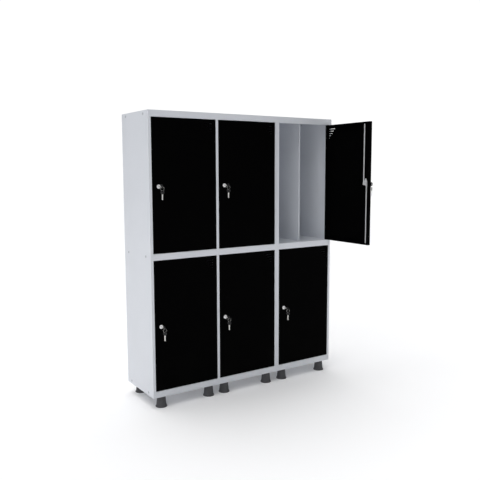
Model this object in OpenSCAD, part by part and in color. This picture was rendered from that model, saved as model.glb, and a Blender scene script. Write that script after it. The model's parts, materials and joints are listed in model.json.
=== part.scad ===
// Six-door steel locker cabinet: a two-column module bolted to a one-column module.
// Millimetres. Origin on the floor at the centre of the footprint, front towards -Y, +Z up.

/* [Cabinet] */
// Depth from the front frame to the back
body_d = 415; // [380:5:460]
// Height of the feet
foot_h = 75; // [60:5:100]
// Thickness of the body and door sheet
sheet = 0.8; // [0.6:0.1:1.2]
// Clear width of each door opening
open_w = 470; // [420:5:500]
// Clear height of each door opening
open_h = 862; // [760:2:920]
// Face width of the upright posts
stile_w = 18; // [16:1:30]
// Face height of the cross rails
rail_h = 42; // [38:1:60]
// Gap between the two modules
module_gap = 0.6; // [0.4:0.1:2]

/* [Doors] */
// Gap all round each door
door_gap = 2.5; // [2.4:0.1:3.5]
// Depth of the folded door pan
door_d = 22; // [20:1:24]
// Width of the folded lip inside the door
lip_w = 14; // [10:1:16]
// Which door stands open, counted left to right from the top row
open_door = 3; // [1:1:6]
// How far that door stands open, in degrees
open_angle = 89; // [0:1:115]

/* [Vents] */
// Rows of vent slots in each door
vent_rows = 5; // [3:1:6]
// Length of one vent slot
vent_len = 10.5; // [8:0.5:12]
// Height of one vent slot
vent_h = 4.5; // [3:0.5:6]

/* [Lock] */
// Distance from the door's free edge to the lock
lock_inset = 44; // [42:1:60]
// Distance from the lock's axis to each rod pin
cam_reach = 14; // [12:1:14]
// Diameter of the locking rods
rod_d = 8; // [6:1:8]

/* [Inside] */
// Distance from the front frame to the divider's front edge
divider_setback = 58; // [40:1:120]
// Width of the divider's front hem
divider_hem = 10; // [6:1:16]

/* [Hidden] */

$fn = 48;
eps = 0.01;
paint = [0.80, 0.82, 0.85];
door_paint = [0.05, 0.05, 0.055];
zinc = [0.72, 0.72, 0.74];
chrome = [0.82, 0.83, 0.85];
dark_plastic = [0.16, 0.16, 0.17];

// Overall places
body_w = 5 * stile_w + 3 * open_w;
body_h = 3 * rail_h + 2 * open_h;
left_x = -body_w / 2;
front_y = -body_d / 2;
back_y = body_d / 2;
base_z = foot_h;
top_z = foot_h + body_h;
return_d = 25;
seam_x = left_x + 3 * stile_w + 2 * open_w;
half_gap = module_gap / 2;

// Left edge of each column's opening and bottom edge of each row's opening
open_x = [for (c = [0 : 2]) left_x + stile_w + c * (open_w + stile_w) + (c == 2 ? stile_w : 0)];
open_z = [for (r = [0 : 1]) base_z + rail_h + r * (open_h + rail_h)];
module_span = [[left_x, seam_x - half_gap], [seam_x + half_gap, -left_x]];
partition_x = open_x[1] - stile_w / 2;
// Inner faces of the walls beside each column
bay = [
    [module_span[0][0] + sheet, partition_x - sheet / 2],
    [partition_x + sheet / 2, module_span[0][1] - sheet],
    [module_span[1][0] + sheet, module_span[1][1] - sheet]];
rear_flange = 15;
back_sheet_y = back_y - 2 * sheet;
inner_front_y = front_y + return_d;
stop_lip = 8;
rail_return_d = 7;
strip_end_gap = 4;
skirt_gap = 4;
flange_front_gap = 1;
flange_lift = 8;
hem_end_gap = 1;
// How far a cut runs past the face of the sheet it goes through
past = 2;

// Door, hinge and lock places, measured from the opening's lower left front corner
door_w = open_w - 2 * door_gap;
door_h = open_h - 2 * door_gap;
pivot_x = open_w - door_gap - 8;
pivot_y = 5;
pin_r = 2;
bush_r = 3.2;
bush_flange_r = 4.2;
bush_flange_t = 1;
bush_depth = 6;
pin_out = 4.5;
pin_in = 8;
pin_plate = [30, 2];
pin_plate_gap = 0.4;
pin_collar_r = 3.6;
pin_collar_h = 3;
running = 0.05;
lock_x = door_gap + lock_inset;
lock_z = open_h / 2 - 3;
rod_y = 14;
rod_r = rod_d / 2;
rod_end_gap = 0.5;
vent_web = 3;
vent_row_pitch = 16.75;
vent_right = 14;
vent_top = 30;
slot_margin = 1.5;
frame_slot_h = rod_d + 3;
door_slot_h = rod_d + 2;

// Lock parts, measured from the door's face at the lock's axis
rosette_r = 13;
rosette_t = 3;
barrel_r = 9.5;
barrel_l = 7;
barrel_nut = [13.5, 3.5];
plug_r = 6;
plug_front_y = -3.4;
keyway = [2.4, 8.4];
blade = [2, 8];
blade_l = 36;
blade_root = 2;
cam_y = 7.4;
cam_t = 2;
lobe_r = 7;
apex_r = 6.5;
apex_z = 34;
cam_nut = [7.5, 2.2];
rod_pin_r = 3;
pin_washer_r = 4.6;
washer_gap = 0.3;
eye_r = 6;
eye_neck = 8;
eye_y = [12, 16];
pin_end_y = 18.5;
bow_r = 13;
bow_t = 2.4;
bow_hole_r = 4;
bow_hole_offset = 6;
bow_shoulder = [5, 6];
bow_y = -45;
ring_y = bow_y - bow_hole_offset;
ring_sag = 1;
ring_r = 12;
ring_wire_r = 0.8;
spare_key_turn = 35;

// Feet, channels and bolts
foot_inset_x = 54;
channel_y = [front_y + 37.5, front_y + 364.5];
channel_w = 60;
channel_t = 1.5;
channel_end_gap = 0.3;
foot_base_r = 38.5;
foot_waist_r = 33.5;
foot_top_r = 28;
foot_flare_z = 14;
sole_t = 3.5;
sole_edge = 1;
foot_bore_z = 30;
foot_bolt_r = 5;
foot_nut = [9, 8];
foot_bolt_end = 14;
side_bolt_y = [front_y + 75, back_y - 65];
side_bolt_drop = 21;
bolt_head_r = 8;
bolt_head_h = 2;
bolt_r = 3;
bolt_l = 10;
bolt_nut = [5.5, 4];
bolt_levels = [
    base_z + rail_h - side_bolt_drop,
    open_z[1] - side_bolt_drop,
    top_z - side_bolt_drop];

fit = 0.02;

// ---- helpers ----

module slab(x, y, z) {
    translate([x[0], y[0], z[0]])
        cube([x[1] - x[0], y[1] - y[0], z[1] - z[0]]);
}

// Cylinder along +Y from y0 to y1 at x, z
module rod_along_y(x, z, y0, y1, r) {
    translate([x, y0, z])
        rotate([-90, 0, 0])
            cylinder(r = r, h = y1 - y0);
}

module rod_along_z(x, y, z0, z1, r) {
    translate([x, y, z0])
        cylinder(r = r, h = z1 - z0);
}

function door_column(n) = (n - 1) % 3;
function door_row(n) = n > 3 ? 0 : 1;

// Places its children in the opening of door n
module at_opening(n) {
    translate([open_x[door_column(n)], front_y, open_z[door_row(n)]])
        children();
}

// Places its children in door n, turned about its pivot if that door stands open
module on_door(n) {
    at_opening(n)
        translate([pivot_x, pivot_y, 0])
            rotate([0, 0, n == open_door ? open_angle : 0])
                translate([-pivot_x, -pivot_y, 0])
                    children();
}

// Slot through a level sheet for a rod that moves between two x places
module rod_slot(x_a, x_b, z, width) {
    slab([min(x_a, x_b) - rod_r - slot_margin, max(x_a, x_b) + rod_r + slot_margin],
        [rod_y - width / 2, rod_y + width / 2], [z - past, z + past]);
}

// Holes that each opening needs in the rail sheet below it and above it
module sill_cuts(column, z) {
    translate([open_x[column], front_y, z]) {
        rod_slot(lock_x - cam_reach, lock_x, 0, frame_slot_h);
        rod_along_z(pivot_x, pivot_y, -past, past, bush_r);
    }
}

module lintel_cuts(column, z) {
    translate([open_x[column], front_y, z]) {
        rod_slot(lock_x + cam_reach, lock_x, 0, frame_slot_h);
        rod_along_z(pivot_x, pivot_y, -past, past, bush_r);
    }
}

// ---- carcass ----

// One side panel: side sheet, front post face, post return and rear flange.
// dir is 1 when the inside lies towards +X.
module side_panel(x, dir, post_w, latch_side) {
    translate([x, 0, 0])
        mirror([dir > 0 ? 0 : 1, 0, 0])
            difference() {
                union() {
                    slab([0, sheet], [front_y, back_y], [base_z, top_z]);
                    slab([0, post_w], [front_y, front_y + sheet], [base_z, top_z]);
                    slab([post_w - sheet, post_w], [front_y, inner_front_y], [base_z + sheet, top_z - sheet]);
                    slab([0, rear_flange], [back_y - sheet, back_y], [base_z, top_z]);
                    if (latch_side) stop_strips(post_w);
                }
                for (z = bolt_levels, y = side_bolt_y)
                    translate([-past, y, z])
                        rotate([0, 90, 0])
                            cylinder(r = bolt_r, h = 2 * past);
            }
}

// Strips behind a closed door's free edge, one in each row
module stop_strips(x) {
    for (z = open_z)
        slab([x - sheet, x + stop_lip], [inner_front_y - sheet, inner_front_y],
            [z + strip_end_gap, z + open_h - strip_end_gap]);
}

module side_panels() {
    color(paint) {
        side_panel(module_span[0][0], 1, stile_w, true);
        side_panel(module_span[0][1], -1, stile_w - half_gap, false);
        side_panel(module_span[1][0], 1, stile_w - half_gap, true);
        side_panel(module_span[1][1], -1, stile_w, false);
    }
}

// Upright between the first two columns: folded front post and a full-depth sheet
module centre_partition() {
    x0 = open_x[1] - stile_w;
    x1 = open_x[1];
    color(paint) {
        slab([x0, x1], [front_y, front_y + sheet], [base_z, top_z]);
        for (x = [x0, x1 - sheet])
            slab([x, x + sheet], [front_y, inner_front_y], [base_z + sheet, top_z - sheet]);
        slab([partition_x - sheet / 2, partition_x + sheet / 2], [front_y, back_sheet_y],
            [base_z + rail_h, top_z - sheet]);
        stop_strips(x1);
    }
}

module back_panels() {
    color(paint)
        for (span = module_span)
            slab([span[0] + sheet, span[1] - sheet], [back_sheet_y, back_sheet_y + sheet],
                [base_z + sheet, top_z - sheet]);
}

// Side flange pair of a shelf or top, turned down inside the walls of one column
module side_flanges(column, z0, z1) {
    for (x = [bay[column][0], bay[column][1] - sheet])
        slab([x, x + sheet], [inner_front_y + flange_front_gap, back_sheet_y], [z0, z1]);
}

// Front rail between two posts: face and folded return
module rail(column, z0, z1, return_z, depth) {
    x = [open_x[column], open_x[column] + open_w];
    slab(x, [front_y, front_y + sheet], [z0, z1]);
    slab(x, [front_y, front_y + depth], [return_z, return_z + sheet]);
}

// Level sheet of one column, narrowed in front so that it passes between the posts
module bay_sheet(column, z) {
    slab([open_x[column], open_x[column] + open_w], [front_y, inner_front_y], [z, z + sheet]);
    slab(bay[column], [inner_front_y - eps, back_sheet_y], [z, z + sheet]);
}

module top_panels() {
    z = top_z - sheet;
    color(paint)
        for (m = [0, 1])
            difference() {
                union() {
                    slab([module_span[m][0] + sheet, module_span[m][1] - sheet],
                        [front_y + sheet, back_y - sheet], [z, top_z]);
                    for (c = m == 0 ? [0, 1] : [2]) {
                        slab([open_x[c], open_x[c] + open_w], [front_y, front_y + 2 * sheet], [z, top_z]);
                        rail(c, top_z - rail_h, top_z, top_z - rail_h, return_d);
                        side_flanges(c, top_z - rail_h + flange_lift, z + eps);
                    }
                }
                for (c = [0 : 2])
                    lintel_cuts(c, top_z - rail_h);
                side_flange_holes();
            }
}

module side_flange_holes() {
    for (span = module_span, x = span, y = side_bolt_y, z = bolt_levels)
        translate([x - 2 * past, y, z])
            rotate([0, 90, 0])
                cylinder(r = bolt_r, h = 4 * past);
}

module middle_shelves() {
    z = open_z[1];
    color(paint)
        for (c = [0 : 2])
            difference() {
                union() {
                    bay_sheet(c, z - sheet);
                    rail(c, z - rail_h, z, z - rail_h, return_d);
                    side_flanges(c, z - rail_h, z - sheet + eps);
                }
                sill_cuts(c, z);
                lintel_cuts(c, z - rail_h);
                side_flange_holes();
            }
}

module base_panels() {
    z = open_z[0] - sheet;
    color(paint)
        for (m = [0, 1])
            difference() {
                union() {
                    slab([module_span[m][0] + sheet, module_span[m][1] - sheet],
                        [inner_front_y, back_sheet_y], [z, z + sheet]);
                    for (c = m == 0 ? [0, 1] : [2]) {
                        slab([open_x[c], open_x[c] + open_w], [front_y, inner_front_y + eps], [z, z + sheet]);
                        rail(c, base_z, base_z + rail_h, base_z, rail_return_d);
                    }
                    for (x = [module_span[m][0] + sheet, module_span[m][1] - 2 * sheet])
                        slab([x, x + sheet], [inner_front_y + flange_front_gap, back_sheet_y],
                            [base_z + skirt_gap, z + eps]);
                }
                for (c = [0 : 2])
                    sill_cuts(c, open_z[0]);
                side_flange_holes();
            }
}

// Upright that splits each compartment, with a hem folded to the left along its front edge
module compartment_dividers() {
    y0 = front_y + divider_setback;
    color(paint)
        for (c = [0 : 2], r = [0 : 1]) {
            x = open_x[c] + open_w / 2;
            z = [open_z[r], open_z[r] + open_h + rail_h - sheet];
            slab([x - sheet / 2, x + sheet / 2], [y0, back_sheet_y], z);
            slab([x - divider_hem, x], [y0, y0 + sheet], [z[0] + hem_end_gap, z[1] - hem_end_gap]);
        }
}

module foot_places() {
    for (c = [0 : 2], x = [foot_inset_x, open_w - foot_inset_x], y = channel_y)
        translate([open_x[c] + x, y, 0])
            children();
}

// Channels across the underside of each column, open towards the base sheet and notched round the
// lower pivot bushes
module foot_channels() {
    half = channel_w / 2;
    color(paint)
        for (c = [0 : 2], y = channel_y)
            difference() {
                union() {
                    x = [open_x[c] + channel_end_gap, open_x[c] + open_w - channel_end_gap];
                    z1 = open_z[0] - sheet;
                    slab(x, [y - half, y + half], [base_z, base_z + channel_t]);
                    slab(x, [y - half, y - half + channel_t], [base_z, z1]);
                    slab(x, [y + half - channel_t, y + half], [base_z, z1]);
                }
                foot_places()
                    rod_along_z(0, 0, base_z - past, base_z + past, foot_bolt_r);
                rod_along_z(open_x[c] + pivot_x, front_y + pivot_y, open_z[0] - bush_depth - past, open_z[0],
                    bush_flange_r + 1);
            }
}

// Tapered plastic foot with a flared sole
module feet() {
    color(dark_plastic)
        foot_places()
            rotate_extrude()
                polygon([
                    [0, 0], [foot_base_r - sole_edge, 0], [foot_base_r, sole_edge], [foot_base_r, sole_t],
                    [foot_waist_r, foot_flare_z], [foot_top_r, foot_h],
                    [foot_bolt_r, foot_h], [foot_bolt_r, foot_bore_z], [0, foot_bore_z]]);
}

// Foot bolt: shank up through the channel and a hexagon nut on it
module foot_bolts() {
    nut_z = base_z + channel_t;
    color(zinc)
        foot_places() {
            rod_along_z(0, 0, foot_bore_z, nut_z + foot_bolt_end, foot_bolt_r - fit);
            translate([0, 0, nut_z])
                cylinder(r = foot_nut[0], h = foot_nut[1], $fn = 6);
        }
}

// Flanged bush at each door pivot, in the rail sheet below the door and the one above it
module pivot_bushes() {
    color(dark_plastic)
        for (n = [1 : 6])
            at_opening(n) {
                pivot_bush(0, 1);
                pivot_bush(open_h, -1);
            }
}

module pivot_bush(z, up) {
    translate([pivot_x, pivot_y, z])
        mirror([0, 0, up > 0 ? 0 : 1])
            difference() {
                union() {
                    cylinder(r = bush_flange_r, h = bush_flange_t);
                    rod_along_z(0, 0, -bush_depth, bush_flange_t / 2, bush_r);
                }
                rod_along_z(0, 0, -bush_depth - past, bush_flange_t + past, pin_r + running);
            }
}

// Button-head bolts through the outer sides, and bolts that join the two modules
module panel_bolts() {
    color(zinc)
        for (y = side_bolt_y, z = bolt_levels) {
            side_bolt(left_x, y, z, 1);
            side_bolt(-left_x, y, z, -1);
            joining_bolt(y, z);
        }
}

module side_bolt(x, y, z, dir) {
    translate([x, y, z])
        rotate([0, dir * 90, 0]) {
            translate([0, 0, -bolt_head_h])
                cylinder(r1 = bolt_head_r - bolt_head_h, r2 = bolt_head_r, h = bolt_head_h / 2);
            translate([0, 0, -bolt_head_h / 2])
                cylinder(r = bolt_head_r, h = bolt_head_h / 2);
            cylinder(r = bolt_r - fit, h = bolt_l);
            translate([0, 0, 2 * sheet])
                cylinder(r = bolt_nut[0], h = bolt_nut[1], $fn = 6);
        }
}

module joining_bolt(y, z) {
    grip = module_gap / 2 + 2 * sheet;
    translate([seam_x, y, z])
        rotate([0, 90, 0]) {
            rod_along_z(0, 0, -grip - bolt_l, grip + bolt_l, bolt_r - fit);
            for (nut_z = [-grip - bolt_nut[1], grip])
                translate([0, 0, nut_z])
                    cylinder(r = bolt_nut[0], h = bolt_nut[1], $fn = 6);
        }
}

// ---- doors ----

// Slot with round ends through the door sheet
module vent_slot(x, z) {
    r = vent_h / 2;
    slab([x + r, x + vent_len - r], [-past, past], [z - r, z + r]);
    for (end = [x + r, x + vent_len - r])
        rod_along_y(end, z, -past, past, r);
}

// Triangle of slots in the upper corner on the hinge side
module vents() {
    pitch_x = vent_len + vent_web;
    for (row = [0 : vent_rows - 1], i = [1 : vent_rows - row])
        vent_slot(open_w - vent_right - i * pitch_x, open_h - vent_top - row * vent_row_pitch);
}

module door_pan() {
    x = [door_gap, door_gap + door_w];
    z = [door_gap, door_gap + door_h];
    difference() {
        slab(x, [0, door_d], z);
        slab([x[0] + sheet, x[1] - sheet], [sheet, door_d - sheet], [z[0] + sheet, z[1] - sheet]);
        slab([x[0] + lip_w, x[1] - lip_w], [sheet, door_d + past], [z[0] + lip_w, z[1] - lip_w]);
        vents();
        rod_along_y(lock_x, lock_z, -past, past, barrel_r);
        for (level = z)
            rod_along_z(pivot_x, pivot_y, level - past, level + past, pin_r);
        rod_slot(lock_x - cam_reach, lock_x, z[0], door_slot_h);
        rod_slot(lock_x + cam_reach, lock_x, z[1], door_slot_h);
    }
}

module door(n) {
    color(door_paint)
        on_door(n)
            door_pan();
}

// Pivot pin in a stiffening plate, at the door's lower corner
module hinge_pin() {
    plate_z = door_gap + sheet;
    collar_z = plate_z + pin_plate[1];
    x1 = open_w - door_gap - sheet;
    difference() {
        slab([x1 - pin_plate[0], x1], [sheet, door_d - sheet - pin_plate_gap], [plate_z, collar_z]);
        rod_along_z(pivot_x, pivot_y, plate_z - past, collar_z + past, pin_r);
    }
    rod_along_z(pivot_x, pivot_y, -pin_out, plate_z + pin_in, pin_r);
    rod_along_z(pivot_x, pivot_y, collar_z, collar_z + pin_collar_h, pin_collar_r);
}

module hinge_pins(n) {
    color(zinc)
        on_door(n) {
            hinge_pin();
            translate([0, 0, open_h])
                mirror([0, 0, 1])
                    hinge_pin();
        }
}

// ---- lock ----

module at_lock(n) {
    on_door(n)
        translate([lock_x, 0, lock_z])
            children();
}

// Rosette, threaded barrel and the nut behind the sheet
module lock_barrel(n) {
    color(chrome)
        at_lock(n)
            difference() {
                rotate([-90, 0, 0])
                    rotate_extrude()
                        polygon([
                            [0, -rosette_t], [rosette_r - 3, -rosette_t], [rosette_r - 1.2, -0.8 * rosette_t],
                            [rosette_r, -rosette_t / 3], [rosette_r, 0], [barrel_r, 0],
                            [barrel_r, barrel_l], [0, barrel_l]]);
                rod_along_y(0, 0, -rosette_t - past, barrel_l + past, plug_r + running);
            }
    color(zinc)
        at_lock(n)
            difference() {
                rotate([-90, 0, 0])
                    translate([0, 0, sheet])
                        cylinder(r = barrel_nut[0], h = barrel_nut[1], $fn = 6);
                rod_along_y(0, 0, 0, barrel_l, barrel_r);
            }
}

function arc(cx, cz, r, a0, a1, steps) =
    [for (i = [0 : steps]) let (a = a0 + (a1 - a0) * i / steps) [cx + r * cos(a), cz + r * sin(a)]];

// Three-lobed cam outline: two rod pins level with the axis and one free lobe above
module cam_outline() {
    lean = 20;
    polygon(concat(
        arc(cam_reach, 0, lobe_r, -90, lean, 6),
        arc(0, apex_z, apex_r, lean, 180 - lean, 8),
        arc(-cam_reach, 0, lobe_r, 180 - lean, 270, 6)));
}

// Key plug that turns in the barrel, with the cam, its nut and the two rod pins
module lock_cam(n) {
    color(zinc)
        at_lock(n)
            difference() {
                union() {
                    rod_along_y(0, 0, plug_front_y, cam_y + cam_t, plug_r);
                    translate([0, cam_y + cam_t, 0])
                        rotate([90, 0, 0])
                            linear_extrude(cam_t)
                                cam_outline();
                    translate([0, cam_y + cam_t, 0])
                        rotate([-90, 0, 0])
                            cylinder(r = cam_nut[0], h = cam_nut[1], $fn = 6);
                    for (x = [-cam_reach, cam_reach]) {
                        rod_along_y(x, 0, cam_y + cam_t, eye_y[0] - washer_gap, pin_washer_r);
                        rod_along_y(x, 0, cam_y + cam_t, pin_end_y, rod_pin_r);
                        rod_along_y(x, 0, eye_y[1] + washer_gap, pin_end_y, pin_washer_r);
                    }
                }
                slab([-keyway[0] / 2, keyway[0] / 2], [plug_front_y - past, bow_y + bow_r + blade_l + past],
                    [-keyway[1] / 2, keyway[1] / 2]);
            }
}

// Locking rod with a flattened eye on its cam pin; dir is 1 for the upper rod
module locking_rod(dir) {
    reach = dir > 0 ? open_h - door_gap - lock_z : lock_z - door_gap;
    translate([dir * cam_reach, 0, 0])
        mirror([0, 0, dir > 0 ? 0 : 1])
            difference() {
                union() {
                    rod_along_z(0, rod_y, eye_r + eye_neck / 2, reach - rod_end_gap, rod_r);
                    slab([-eye_r, eye_r], eye_y, [0, eye_r + eye_neck]);
                    rod_along_y(0, 0, eye_y[0], eye_y[1], eye_r);
                }
                rod_along_y(0, 0, eye_y[0] - past, eye_y[1] + past, rod_pin_r + running);
            }
}

module upper_rod(n) {
    color(zinc)
        at_lock(n)
            locking_rod(1);
}

module lower_rod(n) {
    color(zinc)
        at_lock(n)
            locking_rod(-1);
}

// Key along +Y with its bow's centre at the origin: metal blade and a round plastic bow with a hole
module one_key() {
    color(zinc)
        key_blade();
    color(dark_plastic)
        difference() {
            union() {
                disc_across_x(0, bow_r, bow_t);
                slab([-bow_t / 2, bow_t / 2], [0, bow_r + bow_shoulder[0]], [-bow_shoulder[1], bow_shoulder[1]]);
            }
            disc_across_x(-bow_hole_offset, bow_hole_r, 2 * bow_t);
            key_blade();
        }
}

module key_blade() {
    slab([-blade[0] / 2, blade[0] / 2], [bow_r - blade_root, bow_r + blade_l], [-blade[1] / 2, blade[1] / 2]);
}

module disc_across_x(y, r, t) {
    translate([-t / 2, y, 0])
        rotate([0, 90, 0])
            cylinder(r = r, h = t);
}

module key(n) {
    at_lock(n)
        translate([0, bow_y, 0])
            one_key();
}

// Split ring through the bow's hole, with a spare key hanging from its lowest point
module key_ring(n) {
    spare_drop = bow_hole_offset + bow_hole_r - ring_wire_r - washer_gap;
    at_lock(n)
        translate([0, ring_y, -ring_sag - ring_r]) {
            color(zinc)
                rotate([90, 0, 0])
                    rotate_extrude()
                        translate([ring_r, 0])
                            circle(r = ring_wire_r, $fn = 20);
            translate([0, 0, -ring_r])
                rotate([0, 0, spare_key_turn])
                    translate([0, 0, -spare_drop])
                        rotate([-90, 0, 0])
                            one_key();
        }
}

// ---- nodes ----

side_panels();
centre_partition();
back_panels();
top_panels();
base_panels();
middle_shelves();
compartment_dividers();
foot_channels();
feet();
foot_bolts();
pivot_bushes();
panel_bolts();
for (n = [1 : 6]) {
    door(n);
    hinge_pins(n);
    lock_barrel(n);
    lock_cam(n);
    key(n);
    key_ring(n);
    upper_rod(n);
    lower_rod(n);
}
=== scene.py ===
import json
import math

import bmesh
import bpy
from mathutils import Matrix, Vector


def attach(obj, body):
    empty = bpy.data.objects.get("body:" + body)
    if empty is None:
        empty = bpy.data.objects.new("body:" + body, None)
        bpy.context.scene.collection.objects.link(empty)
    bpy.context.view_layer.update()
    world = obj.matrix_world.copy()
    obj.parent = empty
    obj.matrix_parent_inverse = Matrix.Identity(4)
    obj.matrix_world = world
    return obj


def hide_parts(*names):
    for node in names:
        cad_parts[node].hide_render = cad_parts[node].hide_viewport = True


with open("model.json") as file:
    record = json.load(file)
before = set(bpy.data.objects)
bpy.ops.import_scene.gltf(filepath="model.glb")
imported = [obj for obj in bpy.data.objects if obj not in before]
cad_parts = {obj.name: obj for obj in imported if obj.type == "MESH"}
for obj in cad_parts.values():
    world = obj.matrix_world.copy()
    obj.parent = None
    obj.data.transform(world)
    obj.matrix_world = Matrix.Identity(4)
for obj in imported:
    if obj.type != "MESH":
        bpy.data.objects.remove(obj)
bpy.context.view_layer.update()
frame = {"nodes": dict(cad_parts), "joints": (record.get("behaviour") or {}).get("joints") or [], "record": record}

MM = 0.001
DOORS = range(1, 7)
JOINTS = {joint["name"]: joint for joint in frame["joints"]}
NODES = frame["nodes"]

# ---- camera and studio: places in the row frame, in metres ----

CAMERA_PLACE = Vector((-2.380, -3.720, 1.546))
CAMERA_AZIMUTH = 33.28
CAMERA_DOWN = 6.46
CAMERA_ROLL = 0.23
CAMERA_LENS = 45.85
SENSOR_WIDTH = 36
FAR_CLIP = 200
FLOOR_SIZE = 60.0
FLOOR_GLOW = 0.106
WHITE_SEEN = 1.05
SKY_COLOUR = (0.85, 0.93, 1, 1)
SKY_STRENGTH = 0.02
# Each light's name, the direction it comes from, its spread in degrees and its strength
LIGHTS = (
    ("top_right_light", (0.3, 0.3, 1.0), 60, 1.42),
    ("back_left_light", (-0.30, 0.35, 1.0), 50, 0.80),
    ("left_top_light", (-0.50, -0.25, 1.0), 60, 1.16),
    ("key_light", (-0.9, -0.7, 0.5), 60, 0.36),
)


def make_camera():
    """Camera at standing eye height, to the left of the doors."""
    data = bpy.data.cameras.new("camera")
    data.lens = CAMERA_LENS
    data.sensor_width = SENSOR_WIDTH
    data.clip_end = FAR_CLIP
    camera = bpy.data.objects.new("camera", data)
    bpy.context.scene.collection.objects.link(camera)
    camera.location = CAMERA_PLACE
    turn = Matrix.Rotation(math.radians(-CAMERA_AZIMUTH), 4, "Z")
    tilt = Matrix.Rotation(math.radians(90 - CAMERA_DOWN), 4, "X")
    roll = Matrix.Rotation(math.radians(-CAMERA_ROLL), 4, "Z")
    camera.rotation_euler = (turn @ tilt @ roll).to_euler()
    bpy.context.scene.camera = camera


def make_sun(name, towards, spread, strength):
    """Distant soft light from the direction of the vector towards."""
    data = bpy.data.lights.new(name, "SUN")
    data.angle = math.radians(spread)
    data.energy = strength
    light = bpy.data.objects.new(name, data)
    bpy.context.scene.collection.objects.link(light)
    light.rotation_euler = Vector(towards).to_track_quat("Z", "Y").to_euler()


def make_world():
    """White surroundings for the camera; the object is lit by the lamps and by a faint blue-white sky."""
    world = bpy.data.worlds.new("studio")
    bpy.context.scene.world = world
    world.use_nodes = True
    nodes, links = world.node_tree.nodes, world.node_tree.links
    nodes.clear()
    out = nodes.new("ShaderNodeOutputWorld")
    seen = nodes.new("ShaderNodeBackground")
    seen.inputs["Color"].default_value = (1, 1, 1, 1)
    seen.inputs["Strength"].default_value = WHITE_SEEN
    lighting = nodes.new("ShaderNodeBackground")
    lighting.inputs["Color"].default_value = SKY_COLOUR
    lighting.inputs["Strength"].default_value = SKY_STRENGTH
    path = nodes.new("ShaderNodeLightPath")
    mix = nodes.new("ShaderNodeMixShader")
    links.new(path.outputs["Is Camera Ray"], mix.inputs["Fac"])
    links.new(lighting.outputs[0], mix.inputs[1])
    links.new(seen.outputs[0], mix.inputs[2])
    links.new(mix.outputs[0], out.inputs["Surface"])


def make_studio():
    bpy.context.scene.view_settings.view_transform = "Standard"
    make_world()
    for name, towards, spread, strength in LIGHTS:
        make_sun(name, towards, spread, strength)
    bpy.ops.mesh.primitive_plane_add(size=FLOOR_SIZE, location=(0, 0, 0))
    floor = bpy.context.object
    floor.name = "floor"
    floor.data.materials.append(floor_material())


# ---- materials ----


class Shader:
    """A new material with its Principled shader and short ways to add nodes in object space."""

    def __init__(self, name, colour, roughness, metallic=0.0):
        self.material = bpy.data.materials.new(name)
        self.material.use_nodes = True
        self.nodes = self.material.node_tree.nodes
        self.links = self.material.node_tree.links
        self.main = self.nodes["Principled BSDF"]
        self.main.inputs["Base Color"].default_value = (*colour, 1)
        self.main.inputs["Roughness"].default_value = roughness
        self.main.inputs["Metallic"].default_value = metallic
        self.colour = colour
        self.place = self.nodes.new("ShaderNodeTexCoord").outputs["Object"]
        self.normal = None

    def stretched(self, scale):
        mapping = self.nodes.new("ShaderNodeMapping")
        mapping.inputs["Scale"].default_value = scale
        self.links.new(self.place, mapping.inputs["Vector"])
        return mapping.outputs["Vector"]

    def noise(self, scale, detail=2.0, rough=0.5, stretch=None):
        node = self.nodes.new("ShaderNodeTexNoise")
        node.inputs["Scale"].default_value = scale
        node.inputs["Detail"].default_value = detail
        node.inputs["Roughness"].default_value = rough
        self.links.new(self.stretched(stretch) if stretch else self.place, node.inputs["Vector"])
        return node.outputs["Fac"]

    def cells(self, scale):
        node = self.nodes.new("ShaderNodeTexVoronoi")
        node.inputs["Scale"].default_value = scale
        self.links.new(self.place, node.inputs["Vector"])
        return node.outputs["Distance"]

    def ramp(self, value, stops):
        """Grey or colour ramp: stops are (position, value or colour)."""
        node = self.nodes.new("ShaderNodeValToRGB")
        elements = node.color_ramp.elements
        while len(elements) < len(stops):
            elements.new(0.5)
        for element, (position, level) in zip(elements, stops):
            element.position = position
            element.color = (level, level, level, 1) if isinstance(level, float) else (*level, 1)
        self.links.new(value, node.inputs["Fac"])
        return node.outputs["Color"]

    def tint(self, value, low, high):
        """Base colour that goes from low to high times the material's colour, by value."""
        darker = tuple(c * low for c in self.colour)
        lighter = tuple(min(1, c * high) for c in self.colour)
        return self.ramp(value, [(0.3, darker), (0.7, lighter)])

    def mix(self, factor, first, second):
        node = self.nodes.new("ShaderNodeMix")
        node.data_type = "RGBA"
        self.links.new(factor, node.inputs["Factor"])
        for source, name in ((first, "A"), (second, "B")):
            socket = [s for s in node.inputs if s.name == name and s.type == "RGBA"][0]
            if isinstance(source, tuple):
                socket.default_value = (*source, 1)
            else:
                self.links.new(source, socket)
        return [s for s in node.outputs if s.type == "RGBA"][0]

    def math(self, operation, first, second):
        node = self.nodes.new("ShaderNodeMath")
        node.operation = operation
        for socket, source in zip(node.inputs, (first, second)):
            if isinstance(source, (int, float)):
                socket.default_value = source
            else:
                self.links.new(source, socket)
        return node.outputs[0]

    def bump(self, height, strength, distance):
        node = self.nodes.new("ShaderNodeBump")
        node.inputs["Strength"].default_value = strength
        node.inputs["Distance"].default_value = distance
        self.links.new(height, node.inputs["Height"])
        if self.normal:
            self.links.new(self.normal, node.inputs["Normal"])
        self.normal = node.outputs["Normal"]
        self.links.new(self.normal, self.main.inputs["Normal"])

    def into(self, name, output):
        self.links.new(output, self.main.inputs[name])

    def height_above_floor(self):
        split = self.nodes.new("ShaderNodeSeparateXYZ")
        self.links.new(self.place, split.inputs[0])
        return split.outputs["Z"]


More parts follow.
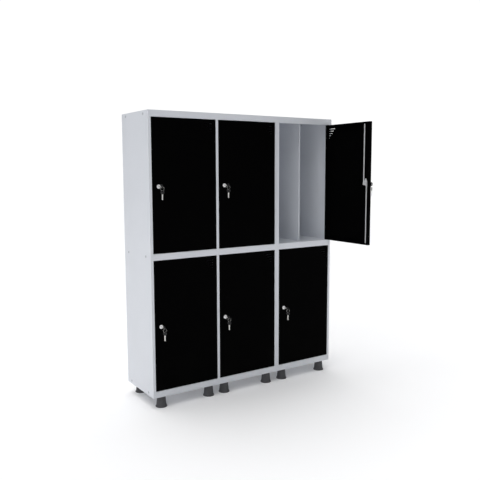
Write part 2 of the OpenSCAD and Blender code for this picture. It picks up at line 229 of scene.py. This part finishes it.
def floor_material():
    s = Shader("studio_floor", (0.93, 0.93, 0.94), 0.75)
    s.main.inputs["Specular IOR Level"].default_value = 0.2
    s.main.inputs["Emission Color"].default_value = (1, 1, 1, 1)
    s.main.inputs["Emission Strength"].default_value = FLOOR_GLOW
    s.into("Base Color", s.tint(s.noise(0.6), 0.995, 1.0))
    return s.material


def powder_coat(name, colour, roughness, specular, texture, low_shade_and_dust):
    """Powder-coated sheet: orange-peel texture, slow waviness, uneven gloss, and low down a little dust with
    painted shade, as grey-brown blotches that darken the body paint towards the floor.
    """
    s = Shader(name, colour, roughness)
    s.main.inputs["Specular IOR Level"].default_value = specular
    tone = s.tint(s.noise(2.3, 3), 0.97, 1.02)
    fine = s.ramp(s.noise(420, 2), [(0.35, 0.0), (0.65, 1.0)])
    grainy = s.mix(s.math("MULTIPLY", fine, 0.10), tone, tuple(min(1, c * 1.25 + 0.004) for c in colour))
    # Painted shade and dust: near the floor the colour is mixed towards grey-brown in cloudy blotches, which
    # darkens the light body paint there like shade.
    low = s.ramp(s.height_above_floor(), [(0.08, 1.0), (0.42, 0.0)])
    cloud = s.ramp(s.noise(9, 6, 0.6), [(0.42, 0.0), (0.75, 1.0)])
    low_shade_and_dust_mask = s.math("MULTIPLY", s.math("MULTIPLY", low, cloud), low_shade_and_dust)
    s.into("Base Color", s.mix(low_shade_and_dust_mask, grainy, (0.42, 0.40, 0.37)))
    gloss = s.ramp(s.noise(6.5, 4, 0.55), [(0.3, roughness - 0.05), (0.7, roughness + 0.07)])
    s.into("Roughness", gloss)
    s.bump(s.noise(5.0, 1), 0.25, 0.0006)
    s.bump(s.noise(texture, 2, 0.5), 0.22, 0.00012)
    return s.material


def plated_steel(name, colour, roughness, streak, metallic):
    """Plated or drawn metal: lengthwise streaks, small spangles and mottled gloss."""
    s = Shader(name, colour, roughness, metallic)
    spangle = s.cells(260)
    lines = s.noise(160, 3, 0.6, stretch=(1, 1, streak))
    s.into("Base Color", s.mix(s.ramp(spangle, [(0.1, 0.0), (0.9, 0.5)]), s.tint(lines, 0.86, 1.06),
                               tuple(c * 0.82 for c in colour)))
    s.into("Roughness", s.ramp(s.noise(90, 4), [(0.3, roughness - 0.07), (0.7, roughness + 0.1)]))
    s.bump(lines, 0.2, 0.00006)
    return s.material


def polished(name, colour, roughness, metallic):
    """Chrome with faint turning marks and handling haze."""
    s = Shader(name, colour, roughness, metallic)
    s.into("Base Color", s.tint(s.noise(140, 3), 0.95, 1.02))
    s.into("Roughness", s.ramp(s.noise(220, 5, 0.6), [(0.35, roughness - 0.04), (0.72, roughness + 0.14)]))
    s.bump(s.noise(900, 2), 0.08, 0.00003)
    return s.material


def moulded(name, colour, roughness, grain, scuff):
    """Moulded plastic: fine grain, slight mottling and pale scuffs."""
    s = Shader(name, colour, roughness)
    s.main.inputs["Specular IOR Level"].default_value = 0.35
    tone = s.tint(s.noise(30, 3), 0.9, 1.1)
    marks = s.ramp(s.noise(75, 8, 0.7, stretch=(1, 1, 0.25)), [(0.62, 0.0), (0.78, 1.0)])
    pale = tuple(min(1, c * 2.2 + 0.02) for c in colour)
    s.into("Base Color", s.mix(s.math("MULTIPLY", marks, scuff), tone, pale))
    s.into("Roughness", s.ramp(s.noise(50, 4), [(0.3, roughness - 0.05), (0.7, roughness + 0.08)]))
    s.bump(s.cells(grain), 0.25, 0.00012)
    return s.material


MATERIALS = {
    "body_paint": powder_coat("body_paint", (0.760, 0.785, 0.835), 0.42, 0.4, 520, 0.10),
    "door_paint": powder_coat("door_paint", (0.0006, 0.0006, 0.0007), 0.6, 0.015, 560, 0.003),
    "lock_chrome": polished("lock_chrome", (0.93, 0.93, 0.94), 0.30, 0.45),
    "zinc_steel": plated_steel("zinc_steel", (0.84, 0.84, 0.85), 0.44, 0.05, 0.45),
    "body_bolts": powder_coat("body_bolts", (0.50, 0.52, 0.55), 0.38, 0.5, 520, 0.0),
    "key_metal": plated_steel("key_metal", (0.84, 0.83, 0.80), 0.36, 0.3, 0.5),
    "key_bow_plastic": moulded("key_bow_plastic", (0.012, 0.012, 0.013), 0.42, 900, 0.05),
    "foot_plastic": moulded("foot_plastic", (0.078, 0.078, 0.083), 0.55, 700, 0.25),
    "bush_plastic": moulded("bush_plastic", (0.03, 0.03, 0.03), 0.5, 900, 0.0),
}
NODE_SLOT = {part["node"]: part["material_slot"] for part in frame["record"]["subparts"]}


def finish_as(piece, slot):
    piece.data.materials.clear()
    piece.data.materials.append(MATERIALS[slot])


# ---- shared piece makers ----


def new_piece(name, mesh, body, slot):
    piece = bpy.data.objects.new(name, mesh)
    bpy.context.scene.collection.objects.link(piece)
    finish_as(piece, slot)
    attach(piece, body)
    return piece


FOLD_RADIUS = 1.4 * MM
SHEET_EDGE = 2.5 * MM
MERGE_WITHIN = 1e-6
FLAT_WITHIN = math.radians(0.3)
FOLD_OVER = math.radians(60)
SHARP_OVER = math.radians(40)


def folded(node, body):
    """Stands for a folded-sheet CAD node: the same shape with its outer folds and corners rounded."""
    work = bmesh.new()
    work.from_mesh(NODES[node].data)
    bmesh.ops.remove_doubles(work, verts=work.verts, dist=MERGE_WITHIN)
    bmesh.ops.dissolve_limit(work, angle_limit=FLAT_WITHIN, verts=work.verts, edges=work.edges)
    wide = {}
    for face in work.faces:
        longest = max(edge.calc_length() for edge in face.edges)
        wide[face.index] = face.calc_area() / longest > SHEET_EDGE
    folds = [edge for edge in work.edges
             if len(edge.link_faces) == 2 and edge.is_convex
             and edge.calc_face_angle() > FOLD_OVER
             and all(wide[face.index] for face in edge.link_faces)]
    bmesh.ops.bevel(work, geom=folds, offset=FOLD_RADIUS, offset_type="OFFSET", segments=3, profile=0.5,
                    affect="EDGES", clamp_overlap=True)
    mesh = bpy.data.meshes.new(node + "_folded")
    work.to_mesh(mesh)
    work.free()
    for polygon in mesh.polygons:
        polygon.use_smooth = True
    mesh.set_sharp_from_angle(angle=SHARP_OVER)
    piece = new_piece(node + "_folded", mesh, body, NODE_SLOT[node])
    normals = piece.modifiers.new("even_normals", "WEIGHTED_NORMAL")
    normals.keep_sharp = True
    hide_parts(node)
    return piece


def plate(name, outlines, thickness, rounding):
    """Mesh of a flat plate with rounded edges, cut to closed outlines; inner ones are holes."""
    curve = bpy.data.curves.new(name, "CURVE")
    curve.dimensions = "2D"
    curve.fill_mode = "BOTH"
    curve.extrude = thickness / 2 - rounding
    curve.bevel_depth = rounding
    curve.bevel_resolution = 2
    for outline in outlines:
        spline = curve.splines.new("POLY")
        spline.points.add(len(outline) - 1)
        for point, (x, y) in zip(spline.points, outline):
            point.co = (x, y, 0, 1)
        spline.use_cyclic_u = True
    shape = bpy.data.objects.new(name, curve)
    mesh = bpy.data.meshes.new_from_object(shape)
    bpy.data.objects.remove(shape)
    return mesh


def circle(radius, count, centre=(0, 0)):
    return [(centre[0] + radius * math.cos(2 * math.pi * i / count),
             centre[1] + radius * math.sin(2 * math.pi * i / count)) for i in range(count)]


def lock_frame(number):
    """Axes of a door's lock at rest: X towards the hinge side, Y into the door, Z up."""
    joint = JOINTS[f"lock_{number}_turn"]
    inwards = -Vector(joint["axis"])
    up = Vector((0, 0, 1))
    across = inwards.cross(up)
    turn = Matrix((across, inwards, up)).transposed().to_4x4()
    return Matrix.Translation(joint["pos_m"]) @ turn


# ---- keys ----

BOW_RADIUS = 13 * MM
BOW_THICK = 2.4 * MM
BOW_HOLE = 4 * MM
HOLE_FROM_CENTRE = 6 * MM
BLADE_WIDE = 8 * MM
BLADE_THICK = 2 * MM
BLADE_LONG = 36 * MM
BLADE_ROOT = 2 * MM
BLADE_ROUNDING = 0.25 * MM
BLADE_CUTS = (0.9 * MM, 1.9 * MM, 1.2 * MM, 2.4 * MM, 0.7 * MM)
CUT_STRETCH = 0.62
BOW_ROUNDING = 0.6 * MM
RING_RADIUS = 12 * MM
RING_WIRE = 0.8 * MM
RING_TURNS = 1.92
RING_STEPS = 96
RING_START = 0.9
# Places along the lock's axis, in front of the door's face
BOW_PLACE = -45 * MM
RING_PLACE = BOW_PLACE - HOLE_FROM_CENTRE
# How far the ring hangs below the axis, and how far its wire stays from the spare key's hole edge
RING_SAG = 1 * MM
SPARE_SLACK = 0.3 * MM
SPARE_KEY_TURN = math.radians(35)


def blade_outline(start, end):
    """Key blade lying along +X from start to end, with cuts along its lower edge and a tapered tip."""
    half = BLADE_WIDE / 2
    step = (end - start) * CUT_STRETCH / len(BLADE_CUTS)
    points = [(start, half), (end - half * 0.9, half), (end, half * 0.1), (end - half * 0.5, -half * 0.8)]
    x = end - half * 0.9
    for depth in BLADE_CUTS:
        points.append((x, -half))
        points.append((x - step * 0.3, -half + depth))
        points.append((x - step * 0.7, -half + depth))
        x -= step
    points.append((x, -half))
    points.append((start, -half))
    return points[::-1]


def key_meshes():
    """Blade and bow of one key, in the plane of X and Y, with the bow's centre at the origin."""
    outline = blade_outline(BOW_RADIUS - BLADE_ROOT, BOW_RADIUS + BLADE_LONG)
    blade = plate("key_blade", [outline], BLADE_THICK, BLADE_ROUNDING)
    hole = circle(BOW_HOLE, 32, (-HOLE_FROM_CENTRE, 0))[::-1]
    bow = plate("key_bow", [circle(BOW_RADIUS, 56), hole], BOW_THICK, BOW_ROUNDING)
    return blade, bow


def key_piece(name, mesh, place, body, slot, node):
    copy = mesh.copy()
    copy.transform(place)
    for polygon in copy.polygons:
        polygon.use_smooth = True
    copy.set_sharp_from_angle(angle=math.radians(35))
    piece = new_piece(name, copy, body, slot)
    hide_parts(node)
    return piece


def split_ring():
    """Split ring of two turns of wire round Y, its highest point at the origin."""
    curve = bpy.data.curves.new("split_ring", "CURVE")
    curve.dimensions = "3D"
    curve.bevel_depth = RING_WIRE * 0.5
    curve.bevel_resolution = 3
    curve.use_fill_caps = True
    spline = curve.splines.new("POLY")
    spline.points.add(RING_STEPS)
    for i, point in enumerate(spline.points):
        angle = 2 * math.pi * RING_TURNS * i / RING_STEPS + RING_START
        lift = (i / RING_STEPS - 0.5) * RING_WIRE
        point.co = (RING_RADIUS * math.sin(angle), lift, -RING_RADIUS + RING_RADIUS * math.cos(angle), 1)
    shape = bpy.data.objects.new("split_ring", curve)
    mesh = bpy.data.meshes.new_from_object(shape)
    bpy.data.objects.remove(shape)
    return mesh


def make_keys():
    blade, bow = key_meshes()
    ring = split_ring()
    spare_drop = HOLE_FROM_CENTRE + BOW_HOLE - RING_WIRE - SPARE_SLACK
    stand_up = Matrix.Rotation(math.radians(90), 4, "Y") @ Matrix.Rotation(math.radians(90), 4, "Z")
    for number in DOORS:
        at_lock = lock_frame(number)
        key, rings = f"key_{number}", f"key_ring_{number}"
        bow_place = at_lock @ Matrix.Translation((0, BOW_PLACE, 0)) @ stand_up
        key_piece(key + "_blade", blade, bow_place, key, "key_metal", key)
        key_piece(key + "_bow", bow, bow_place, key, "key_bow_plastic", key)
        hole = at_lock @ Matrix.Translation((0, RING_PLACE, -RING_SAG))
        key_piece(rings + "_wire", ring, hole, rings, "key_metal", rings)
        hang = (hole @ Matrix.Translation((0, 0, -2 * RING_RADIUS)) @ Matrix.Rotation(SPARE_KEY_TURN, 4, "Z")
                @ Matrix.Translation((0, 0, -spare_drop)) @ Matrix.Rotation(math.radians(90), 4, "Y"))
        key_piece(rings + "_spare_blade", blade, hang, rings, "key_metal", rings)
        key_piece(rings + "_spare_bow", bow, hang, rings, "key_bow_plastic", rings)


# ---- the object ----

CARCASS_SHEETS = ("side_panels", "centre_partition", "back_panels", "top_panels", "base_panels",
                  "middle_shelves", "compartment_dividers", "foot_channels")


def finish_cad_nodes():
    """Gives every CAD node its material."""
    for name, node in NODES.items():
        finish_as(node, NODE_SLOT[name])


make_camera()
make_studio()
finish_cad_nodes()
for name in CARCASS_SHEETS:
    folded(name, "carcass")
for number in DOORS:
    folded(f"door_{number}", f"door_{number}")
make_keys()
